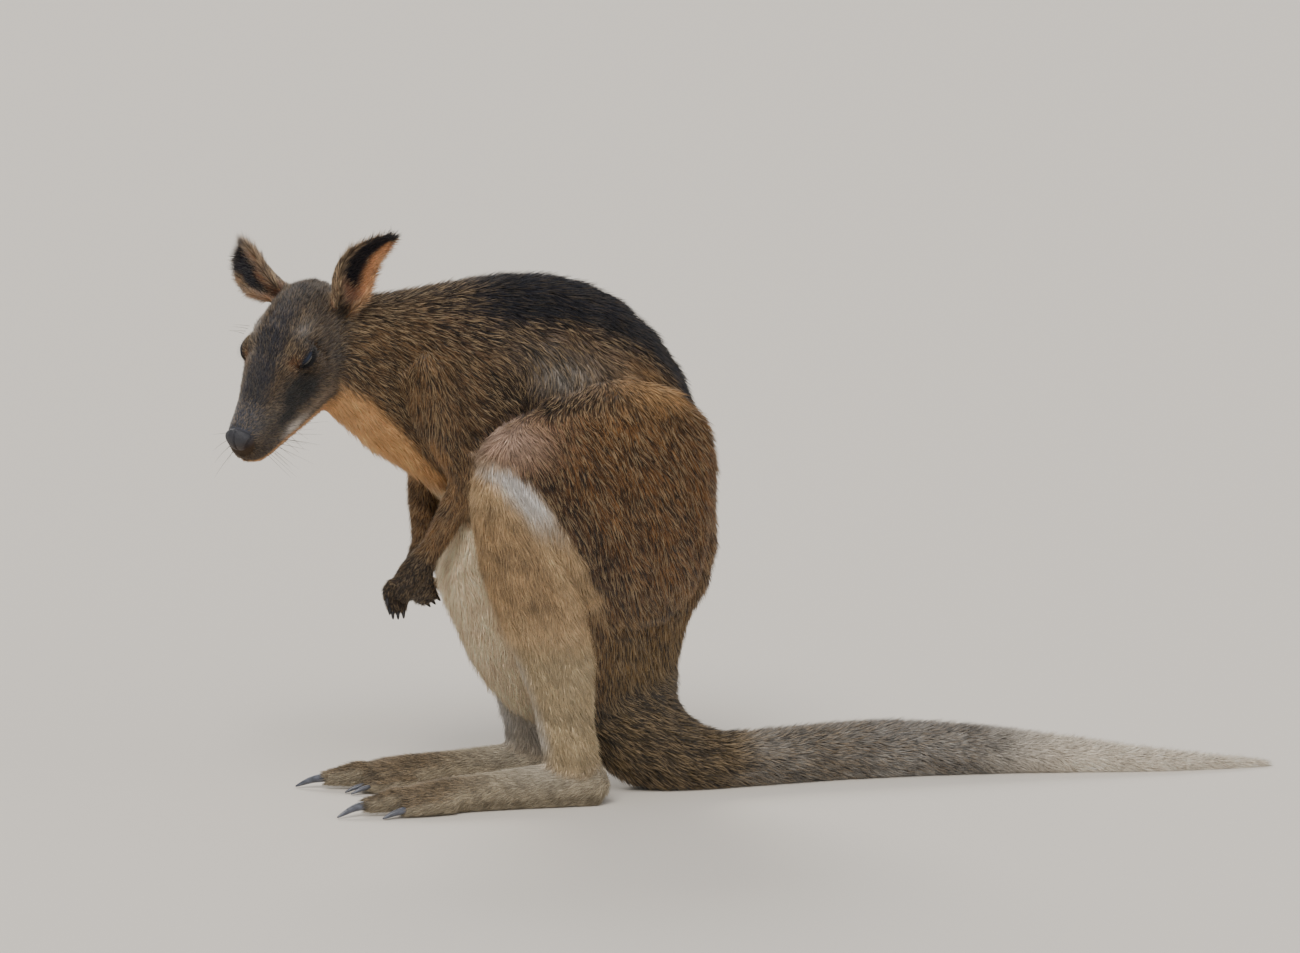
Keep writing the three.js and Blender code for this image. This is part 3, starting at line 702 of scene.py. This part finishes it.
def gloss(name, base, rough, coat=0.0, grain=None, amount=0.0, bump=0.0):
    """A smooth hard finish, with a slow change of shade over it."""
    m = bpy.data.materials.new(name)
    m.use_nodes = True
    tree = m.node_tree
    shader = tree.nodes["Principled BSDF"]
    shader.inputs["Roughness"].default_value = rough
    shader.inputs["Coat Weight"].default_value = coat
    shader.inputs["Coat Roughness"].default_value = 0.03
    place = tree.nodes.new("ShaderNodeTexCoord")
    noise = tree.nodes.new("ShaderNodeTexNoise")
    noise.inputs["Scale"].default_value = grain or 200
    noise.inputs["Detail"].default_value = 3
    ramp = tree.nodes.new("ShaderNodeValToRGB")
    low, high = rgb(base) * (1 - amount), np.clip(rgb(base) * (1 + amount), 0, 1)
    ramp.color_ramp.elements[0].position = 0.35
    ramp.color_ramp.elements[1].position = 0.65
    ramp.color_ramp.elements[0].color = (*low, 1)
    ramp.color_ramp.elements[1].color = (*high, 1)
    dent = tree.nodes.new("ShaderNodeBump")
    dent.inputs["Strength"].default_value = bump
    dent.inputs["Distance"].default_value = 0.0005
    link = tree.links.new
    link(place.outputs["Object"], noise.inputs["Vector"])
    link(noise.outputs["Fac"], ramp.inputs["Fac"])
    link(ramp.outputs["Color"], shader.inputs["Base Color"])
    link(noise.outputs["Fac"], dent.inputs["Height"])
    link(dent.outputs["Normal"], shader.inputs["Normal"])
    return m


wet = gloss("eye_glass", "120b08", 0.08, 1.0, 120, 0.5)
for side, name in SIDES:
    bpy.ops.mesh.primitive_uv_sphere_add(
        segments=40, ring_count=24, radius=EYE_RADIUS * MM, location=from_head(EYE_AT[side]) * MM)
    ball = bpy.context.object
    ball.name = ball.data.name = f"eyeball_{name}"
    bpy.ops.object.transform_apply(location=True, rotation=True, scale=True)
    bpy.ops.object.shade_smooth()
    ball.data.materials.append(wet)
    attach(ball, "root")
    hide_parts(f"eye_{name}")


# ---- Nose ----
# The bare nose pad, dark pebbled skin with a dull sheen, a nostril on each side and a groove below.

NOSE_MIDDLE = np.array([-129.5, 0, -21.0])
NOSTRIL_DEPTH, SLIT_DEPTH, WING_RISE, GROOVE_DEPTH = 4.8, 1.8, 0.9, 1.1
nose = cad_copy("nose", "nose_pad")
apply(nose, "SUBSURF", levels=4, render_levels=4)
q = to_head(points_of(nose.data) / MM)
qn = normals_of(nose.data) @ TURN
sunk = step(np.linalg.norm((q - NOSE_MIDDLE) / np.array([1, 1.05, 1]), axis=1), 11.0, 15.0)
q = q + qn * (0.45 - 3.0 * sunk)[:, None]
nostril_shade = np.zeros(len(q))
for side in (LEFT, RIGHT):
    pit = mound(q, (-127.5, 10.0 * side, -23.5), (3.2, 3.2, 3.6))
    tail_of_slit = mound(q, (-123.0, 11.5 * side, -20.0), (4.4, 3.2, 1.4))
    nostril_shade += pit + 0.7 * tail_of_slit
    q = q - qn * (NOSTRIL_DEPTH * pit + SLIT_DEPTH * tail_of_slit)[:, None]
    q = q + qn * (WING_RISE * mound(q, (-127, 10 * side, -16.5), (5, 4, 2.6)))[:, None]
q = q - qn * (GROOVE_DEPTH * np.exp(-((q[:, 1] / 0.8) ** 2)) * step(q[:, 0], -125, -130))[:, None]
put_points(nose.data, from_head(q) * MM)
low_down = step(q[:, 2], -15, -25)[:, None]
leather = rgb("2e2e34") * (1 - low_down) + rgb("27150f") * low_down
# The nostrils are darkened as painted shade in their pits.
leather = leather * (1 - 0.9 * np.clip(nostril_shade, 0, 1))[:, None]
keep_markings(nose.data, leather)
nose.data.materials.append(hide("nose_leather", 0.5, 1700, 0.5, 0.7, 1.15, shine=0.45))
only(nose)
bpy.ops.object.shade_smooth()
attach(nose, "root")
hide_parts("nose")


# ---- Claws ----
# Horn claws on every finger and toe, dark grey, set into the flesh.

toe_horn = gloss("claw_horn", "4a4d57", 0.4, 0.2, 260, 0.35, 0.15)
finger_horn = gloss("finger_horn", "151214", 0.6, 0.0, 260, 0.35, 0.15)
for node in sorted(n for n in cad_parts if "claw" in n):
    claw = cad_copy(node, node + "_horn")
    apply(claw, "SUBSURF", levels=2, render_levels=2)
    q = points_of(claw.data) + normals_of(claw.data) * 0.25 * MM
    q[:, 2] = np.maximum(q[:, 2], 0.0002)
    put_points(claw.data, q)
    claw.data.materials.append(toe_horn if node.startswith("toe") else finger_horn)
    only(claw)
    bpy.ops.object.shade_smooth()
    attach(claw, "root")
    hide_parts(node)


# ---- Coat ----
# Grizzled fur, coarse on the body and fine on the face and feet, made as thin solid tufts over the skin.
# Each lies back along the body the way the coat grows, rooted a little under the skin.

WAYS = {
    # Lines of flow, in millimetres: the hair lies along them, from first point to last.
    "trunk": [(-344, -4, 365), (-319, 0, 356), (-293, 1, 349), (-231, 1, 340), (-160, 1, 330), (-110, 1, 300),
              (-70, 1, 240), (-62, 1, 170), (-80, 1, 110), (-60, 2, 60), (0, 8, 25), (80, 20, 22)],
    "tail": [(-60, 4, 40), (0, 8, 22), (74, 19, 22), (133, 22, 22), (190, 20, 19), (241, 15, 15), (346, 0, 7),
             (431, -1, 2)],
}
LIMB_WAYS = {
    "thigh": (0.3, 0, -1.0), "shank": (0.28, 0, -1.0), "foot": (-1.0, 0, -0.25),
    "upper_arm": (0.25, 0, -1.0), "forearm": (-0.35, 0, -1.0), "hand": (-0.5, 0, -0.9),
}
# How the tufts grow on each solid: length, width and how many to a square millimetre.
TUFTS = {
    "head": (6.4, 0.78, 1.8), "ear": (4.8, 0.55, 1.8), "neck": (13.5, 1.15, 0.72), "chest": (14.5, 1.3, 0.6),
    "belly": (14, 1.3, 0.6), "rump": (14.5, 1.3, 0.6), "upper_arm": (11, 1.0, 0.85), "forearm": (8, 0.8, 1.2),
    "hand": (4.0, 0.55, 1.9), "thigh": (13.5, 1.25, 0.62), "shank": (11, 1.0, 0.85),
    "foot": (6.5, 0.65, 1.15), "tail_root": (12, 1.15, 0.75), "tail_middle": (10.5, 1.0, 0.85),
    "tail_end": (9.5, 0.85, 1.0), "tail_tip": (9, 0.7, 1.4),
}
COAT_PIECES = {
    "coat_head": ("head",), "coat_ears": ("ear",), "coat_neck": ("neck",), "coat_chest": ("chest",),
    "coat_belly": ("belly",), "coat_rump": ("rump",), "coat_arms": ("upper_arm", "forearm", "hand"),
    "coat_thighs": ("thigh",), "coat_shanks": ("shank",), "coat_feet": ("foot",), "coat_tail": ("tail",),
}
ALL_TUFTS = 355000
EMBED = 0.35  # how far under the skin a tuft is rooted
RIDGE = 0.9  # height of a tuft's back over its root, in half widths


def unit(v):
    return v / np.maximum(np.linalg.norm(v, axis=-1, keepdims=True), 1e-9)


def flow_along(line, p):
    """The direction of a line at its nearest point to each p."""
    line = np.array(line, float)
    tangent = unit(np.gradient(line, axis=0))
    best, way = np.full(len(p), 1e9), np.zeros((len(p), 3))
    for i in range(len(line) - 1):
        a, d = line[i], line[i + 1] - line[i]
        t = np.clip(((p - a) @ d) / (d @ d), 0, 1)
        gap = np.linalg.norm(p - a - t[:, None] * d, axis=1)
        closer = gap < best
        best[closer] = gap[closer]
        way[closer] = (tangent[i] * (1 - t[:, None]) + tangent[i + 1] * t[:, None])[closer]
    return way


def turned(v):
    """A direction in the head's frame, as one in the room."""
    return np.asarray(v, float) @ TURN.T


n = normals_of(skin.data)
way = np.zeros((len(p), 3))
trunk_way = flow_along(WAYS["trunk"], p) + np.array([0.15, 0, -0.55])
way += part_of("neck", "chest", "belly", "rump")[:, None] * trunk_way
way += part_of("tail")[:, None] * (flow_along(WAYS["tail"], p) + np.array([0, 0, -0.1]))
for part, direction in LIMB_WAYS.items():
    way += part_of(part)[:, None] * np.array(direction)
back_of_head = turned([1.0, 0, 0.05])
cheek = turned([0.85, 0, -0.55])
low = step(h[:, 2], 0, -40)[:, None]
way += part_of("head")[:, None] * (back_of_head * (1 - low) + cheek * low)
for side, name in SIDES:
    ear_axis = turned(np.array(EARS[side]["tip"]) - np.array(EARS[side]["root"]))
    t, s, _ = ear_place(side, h)
    ear_across = turned(ear_frame(side)[3])
    outwards = ear_across * np.clip(s * 1.2, -0.8, 0.8)[:, None]
    way += part_of(f"ear_{name}")[:, None] * (unit(ear_axis) + outwards)
    whorl = (trunk > 0) * mound(p, (-165, 72 * side, 346), (34, 45, 24))
    way += whorl[:, None] * np.array([-1.1, 0, -1.0]) * 1.7
way = unit(way - n * (way * n).sum(1)[:, None])
way = unit(even_out(way, edges, 4))

length, width, crowd = (member @ by_node(TUFTS)).T.copy()
towards_nose = face * step(h[:, 0], -55, -110)
length *= 1 - 0.5 * towards_nose
width *= 1 - 0.15 * towards_nose
crowd *= 1 + 1.1 * face * step(h[:, 0], -40, -100)
bare = np.zeros(len(p))
for side in (LEFT, RIGHT):
    out = h - EYE_AT[side]
    u, v = out @ EYE_ALONG[side], out @ EYE_UP[side]
    near = step(np.hypot(u / 1.3, v + 0.8), 11, 5) * (out @ EYE_FACES[side] > 0)
    length *= 1 - 0.62 * near
    bare = np.maximum(bare, near * step(np.hypot(u / 2.1, v + 1.0), 4.4, 3.4))
gap, place = along_mouth(h)
bare = np.maximum(bare, face * step(gap, 1.6, 0.8))
bare = np.maximum(bare, step(np.linalg.norm(h - NOSE_MIDDLE, axis=1), 13.4, 12.2))
crowd *= 1 - bare
rims = np.clip(ear_rim, 0, 1)
length *= 1 + 0.8 * rims + 0.9 * np.clip(ear_front, 0, 1) * rims
crowd *= 1 + 1.2 * rims
crowd *= 1 - 0.35 * np.clip(ear_hollow, 0, 1) * (1 - rims)
for side in (LEFT, RIGHT):
    length += 6 * mound(h, (12, 38 * side, -10), (9, 12, 9)) * (face + part_of("ear"))
above_fold = trunk * np.exp(-((fold_gap / 12) ** 2)) * step(fold_place, 1.0, 0.6)
length *= 1 + 0.15 * above_fold
crowd *= 1 - 0.9 * step(-n[:, 2], 0.7, 0.95) * step(p[:, 2], 6, 2)

coat_depth = member @ by_node(COAT_DEPTH) + 0.7
coat_depth = coat_depth * (1 - MUZZLE_THINNING * face * step(h[:, 0], -60, -112))
lift = np.clip(coat_depth / np.maximum(length, 1), 0.1, 0.55)
lift = np.maximum(lift, 0.55 * rims * part_of("ear"))

mesh = skin.data
mesh.calc_loop_triangles()
tris = np.empty(len(mesh.loop_triangles) * 3, np.int32)
mesh.loop_triangles.foreach_get("vertices", tris)
tris = tris.reshape(-1, 3)
corners = p[tris]
area = np.linalg.norm(np.cross(corners[:, 1] - corners[:, 0], corners[:, 2] - corners[:, 0]), axis=1) / 2
tri_node = nodes_at[tris[:, 0]]
weight = area * crowd[tris].mean(1)
share = ALL_TUFTS / weight.sum()
rng = np.random.default_rng(11)


def mix(field, tri, bary):
    """The value of a field of the skin's points at places inside its triangles."""
    return (field[tris[tri]] * bary[..., None] if field.ndim == 2 else field[tris[tri]] * bary).sum(1)


def unwrap(p, nodes):
    """Each solid's skin laid flat in its own cell: round it one way and along it the other."""
    uv = np.zeros((len(p), 2))
    kinds = sorted(set(nodes.tolist()))
    cells = math.ceil(math.sqrt(len(kinds)))
    for i, k in enumerate(kinds):
        here = nodes == k
        q = p[here] - p[here].mean(0)
        _, axes = np.linalg.eigh(np.cov(q.T))
        along = q @ axes[:, 2]
        around = np.arctan2(q @ axes[:, 1], q @ axes[:, 0])
        a = (along - along.min()) / max(np.ptp(along), 1e-6)
        b = (around + math.pi) / (2 * math.pi)
        cell = np.array([i % cells, i // cells])
        uv[here] = (cell + 0.03 + 0.94 * np.stack([a, b], 1)) / cells
    return uv


HAIR_BLACK, HAIR_TAN = rgb("1a1614"), rgb("dcbd92")
BLACK_TIPS, TAN_TIPS = 0.28, 0.26  # shares of the tufts
PATCH = 0.003  # side of a tuft's place on the flat sheet
WAVES = 9
waves = rng.normal(size=(WAVES, 3))
waves = unit(waves) * (2 * math.pi / np.geomspace(11, 42, WAVES))[:, None]
wave_start = rng.random(WAVES) * 2 * math.pi


def locks(at):
    """A slow random number over the body, about -1 to 1, by which neighbouring tufts lie and shade alike."""
    return np.sin(at @ waves.T + wave_start).sum(1) / 3.2


def tuft_colours(root, base, fineness):
    """Banded hairs: dark at the root, partly as painted shade deep in the coat, then the marking's own shade,
    with some black and some tan tips.
    """
    kind = rng.random(len(root))
    shade = rng.normal(1.0, 0.3, len(root)) + 0.28 * locks(root[:, ::-1] * 1.3)
    bright = base.mean(1)
    swing = (np.clip(shade, 0.3, 2.0) - 1) * np.interp(bright, [0.25, 0.6], [1, 0.35])
    own = base * (1 + swing)[:, None]
    grizzle = np.interp(bright, [0.012, 0.05, 0.16, 0.45], [0.12, 1.0, 1.0, 0.1])
    grizzle = (grizzle * fineness)[:, None]
    black, tan = grizzle * 0.95, grizzle * 0.85
    tips = own * 1.2
    tips = np.where((kind < BLACK_TIPS)[:, None], own * (1 - black) + HAIR_BLACK * black, tips)
    tips = np.where((kind > 1 - TAN_TIPS)[:, None], own * (1 - tan) + HAIR_TAN * tan, tips)
    # The dark roots are partly painted shade deep in the coat.
    roots_in_shade = own * np.interp(bright, [0.1, 0.5], [0.2, 0.85])[:, None]
    return np.stack([roots_in_shade, roots_in_shade, roots_in_shade, tips], 1).reshape(-1, 3)


def grow(name, parts):
    """Plants the tufts of one piece of the coat: each a root of three points drawn out to a tip."""
    wanted = np.array([any(f.startswith(k) for k in parts) for f in FLESH])[tri_node]
    chance = np.where(wanted, weight, 0)
    count = int(chance.sum() * share)
    steps = np.cumsum(chance)
    tri = np.searchsorted(steps, (np.arange(count) + rng.random(count)) * steps[-1] / count)
    tri = np.clip(tri, 0, len(tris) - 1)
    a, b = rng.random(count), rng.random(count)
    flip = a + b > 1
    a[flip], b[flip] = 1 - a[flip], 1 - b[flip]
    bary = np.stack([1 - a - b, a, b], 1)
    root = mix(p, tri, bary)
    normal = unit(mix(n, tri, bary))
    lie = unit(mix(way, tri, bary))
    wide = mix(width, tri, bary) * rng.uniform(0.75, 1.25, count)
    long = mix(length, tri, bary) * rng.uniform(0.6, 1.2, count)
    up = mix(lift, tri, bary) * rng.uniform(0.45, 1.35, count)
    stray = rng.normal(0, 0.13, count) + 0.2 * locks(root)
    sideways = np.cross(normal, lie)
    lie = unit(lie + sideways * stray[:, None])
    sideways = np.cross(normal, lie)
    aim = unit(lie * np.sqrt(1 - up**2)[:, None] + normal * up[:, None])
    start = root - normal * EMBED
    tip = start + aim * long[:, None]
    tip[:, 2] = np.maximum(tip[:, 2], 0.25)
    half = (wide / 2)[:, None]
    v = np.stack([start + sideways * half, start - sideways * half, start + normal * half * RIDGE, tip], 1)
    v[:, :3, 2] = np.maximum(v[:, :3, 2], 0.1)
    corners = v.reshape(-1, 3) * MM
    faces = np.array([(0, 2, 3), (2, 1, 3), (1, 0, 3), (0, 1, 2)])
    index = (np.arange(count)[:, None, None] * 4 + faces[None]).reshape(-1)
    mesh = bpy.data.meshes.new(name)
    mesh.vertices.add(count * 4)
    mesh.vertices.foreach_set("co", corners.astype(np.float32).ravel())
    mesh.loops.add(len(index))
    mesh.loops.foreach_set("vertex_index", index.astype(np.int32))
    mesh.polygons.add(count * 4)
    mesh.polygons.foreach_set("loop_start", np.arange(0, count * 12, 3, dtype=np.int32))
    mesh.update(calc_edges=True)
    keep_markings(mesh, tuft_colours(root, mix(colour, tri, bary), 1 - 0.35 * mix(face, tri, bary)))
    uv = unwrap(root, nodes_at[tris[tri, 0]])
    patch = (np.array([(0, 0), (1, 0), (0.5, 0.3), (0.5, 1)]) - 0.5) * PATCH
    spot = np.clip(uv[:, None] + patch[None], 0, 1).reshape(-1, 2)
    sheet = mesh.uv_layers.new(name="OFBake")
    sheet.data.foreach_set("uv", spot[index].astype(np.float32).ravel())
    coat = bpy.data.objects.new(name, mesh)
    bpy.context.scene.collection.objects.link(coat)
    coat.data.materials.append(fur)
    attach(coat, "root")


fur = hide("fur", 0.6, 2500, 0.0, 0.85, 1.15, shine=0.35, sheen=0.1)
for name, parts in COAT_PIECES.items():
    grow(name, parts)


# ---- Whiskers and lashes ----
# Long stiff hairs, thick at the root and drawn out to nothing, set into the lips, chin, brow and upper lids.

HAIR_STEPS, HAIR_SIDES = 7, 4
HAIR_TAPER = 0.85
WHISKER, CHIN_HAIR, BROW_HAIR, LASH = 0.2, 0.17, 0.15, 0.14  # radii at the root
LASH_LENGTH = 4.2


def stiff_hairs(name, hairs, hex_colour):
    """Each hair is its root and its way in the head's frame, its length, its root radius and its droop."""
    points, faces = [], []
    ring = np.arange(HAIR_SIDES)
    for root, direction, length, radius, droop in hairs:
        root, direction = np.array(root, float), unit(np.array(direction, float))
        aside = unit(np.cross(direction, [0.3, 0.2, 1.0]))
        over = np.cross(direction, aside)
        start = len(points)
        for k in range(HAIR_STEPS):
            t = k / (HAIR_STEPS - 1)
            middle = root + direction * length * t + np.array([0.3, 0, -1.0]) * droop * t * t
            thick = radius * (1 - HAIR_TAPER * t)
            for a in 2 * math.pi * ring / HAIR_SIDES:
                points.append(middle + thick * (aside * math.cos(a) + over * math.sin(a)))
        for k in range(HAIR_STEPS - 1):
            for i in ring:
                j = (i + 1) % HAIR_SIDES
                low = start + k * HAIR_SIDES
                faces.append((low + i, low + j, low + HAIR_SIDES + j, low + HAIR_SIDES + i))
        faces.append(tuple(start + ring[::-1]))
        faces.append(tuple(start + (HAIR_STEPS - 1) * HAIR_SIDES + ring))
    mesh = bpy.data.meshes.new(name)
    mesh.from_pydata((from_head(points) * MM).tolist(), [], [[int(i) for i in f] for f in faces])
    made = bpy.data.objects.new(name, mesh)
    bpy.context.scene.collection.objects.link(made)
    all_over(made, bpy.ops.mesh.normals_make_consistent, inside=False)
    made.data.materials.append(gloss(name, hex_colour, 0.45, 0.0, 300, 0.3, 0.0))
    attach(made, "root")


draw = np.random.default_rng(5)
whiskers, lashes = [], []
for side in (LEFT, RIGHT):
    for row in range(3):
        for k in range(4):
            root = (-119 + 6.5 * k, (13.5 + 1.5 * k) * side, -28 - 5.5 * row - k)
            ahead = -0.15 + 0.35 * k + 0.1 * draw.normal()
            upwards = -0.35 - 0.22 * row + 0.08 * draw.normal()
            direction = (ahead, side * 0.8, upwards)
            whiskers.append((root, direction, draw.uniform(22, 40), WHISKER, draw.uniform(2, 7)))
    for k in range(5):
        root = (-104 + 8 * k, 9 * side, -54 - 1.5 * k)
        direction = (0.25 + 0.1 * draw.normal(), side * 0.3, -1.0)
        whiskers.append((root, direction, draw.uniform(12, 20), CHIN_HAIR, 1.5))
    for k in range(4):
        direction = (-0.5, side * 0.7, 0.6 + 0.1 * draw.normal())
        whiskers.append(((-46 + 3 * k, 29 * side, 14), direction, 15, BROW_HAIR, 3))
    faces, along, up = EYE_FACES[side], EYE_ALONG[side], EYE_UP[side]
    for k in range(12):
        u = -7.0 + 1.25 * k
        out = unit(faces * math.sqrt(LID_RADIUS**2 - u * u) + along * u + up * (0.2 + 0.013 * u * u))
        direction = out * 0.8 - up * 0.75 + along * u * 0.03
        lashes.append((EYE_AT[side] + out * LID_RADIUS, direction, LASH_LENGTH, LASH, 0.3))
stiff_hairs("whiskers", whiskers, "3a302a")
stiff_hairs("lashes", lashes, "15110f")


# ---- Floor, light and camera ----
# A plain pale floor under soft lamps, seen from the animal's left.

bpy.ops.mesh.primitive_plane_add(size=60, location=(0, 2.0, 0))
floor = bpy.context.object
floor.name = "floor"
paper = bpy.data.materials.new("paper")
paper.use_nodes = True
shader = paper.node_tree.nodes["Principled BSDF"]
shader.inputs["Base Color"].default_value = (0.70, 0.66, 0.60, 1)
shader.inputs["Roughness"].default_value = 0.9
floor.data.materials.append(paper)


def lamp(name, place, spread, power, colour=(1, 1, 1)):
    """A broad soft lamp, far enough off to light the whole floor alike."""
    light = bpy.data.lights.new(name, "SUN")
    light.angle = math.radians(spread)
    light.energy = power
    light.color = colour
    obj = bpy.data.objects.new(name, light)
    bpy.context.scene.collection.objects.link(obj)
    obj.location = place
    obj.rotation_euler = (LAMPS_AIM - Vector(place)).to_track_quat("-Z", "Y").to_euler()


LAMPS_AIM = Vector((0, 0, 0.2))
lamp("key", (-0.7, -1.7, 2.3), 28, 2.3, (1.0, 0.96, 0.9))
lamp("fill", (2.4, -2.4, 1.3), 60, 0.7, (1.0, 0.98, 0.96))
lamp("rim", (-0.4, 2.2, 1.9), 30, 1.4, (1.0, 0.95, 0.87))
world = bpy.data.worlds.new("room")
world.use_nodes = True
backdrop = world.node_tree.nodes["Background"]
backdrop.inputs["Color"].default_value = (0.86, 0.87, 0.9, 1)
backdrop.inputs["Strength"].default_value = 0.55
bpy.context.scene.world = world

AIM = Vector((-80.2, 2.54, 254.7)) * MM
AZIMUTH, ELEVATION, DISTANCE = math.radians(-10), math.radians(10), 6.5
camera = bpy.data.objects.new("camera", bpy.data.cameras.new("camera"))
bpy.context.scene.collection.objects.link(camera)
away = Vector((
    math.cos(ELEVATION) * math.sin(AZIMUTH),
    -math.cos(ELEVATION) * math.cos(AZIMUTH),
    math.sin(ELEVATION),
))
camera.location = AIM + away * DISTANCE
camera.rotation_euler = (-away).to_track_quat("-Z", "Y").to_euler()
camera.data.lens = 225
camera.data.sensor_width = 36
camera.data.clip_end = 50
bpy.context.scene.camera = camera
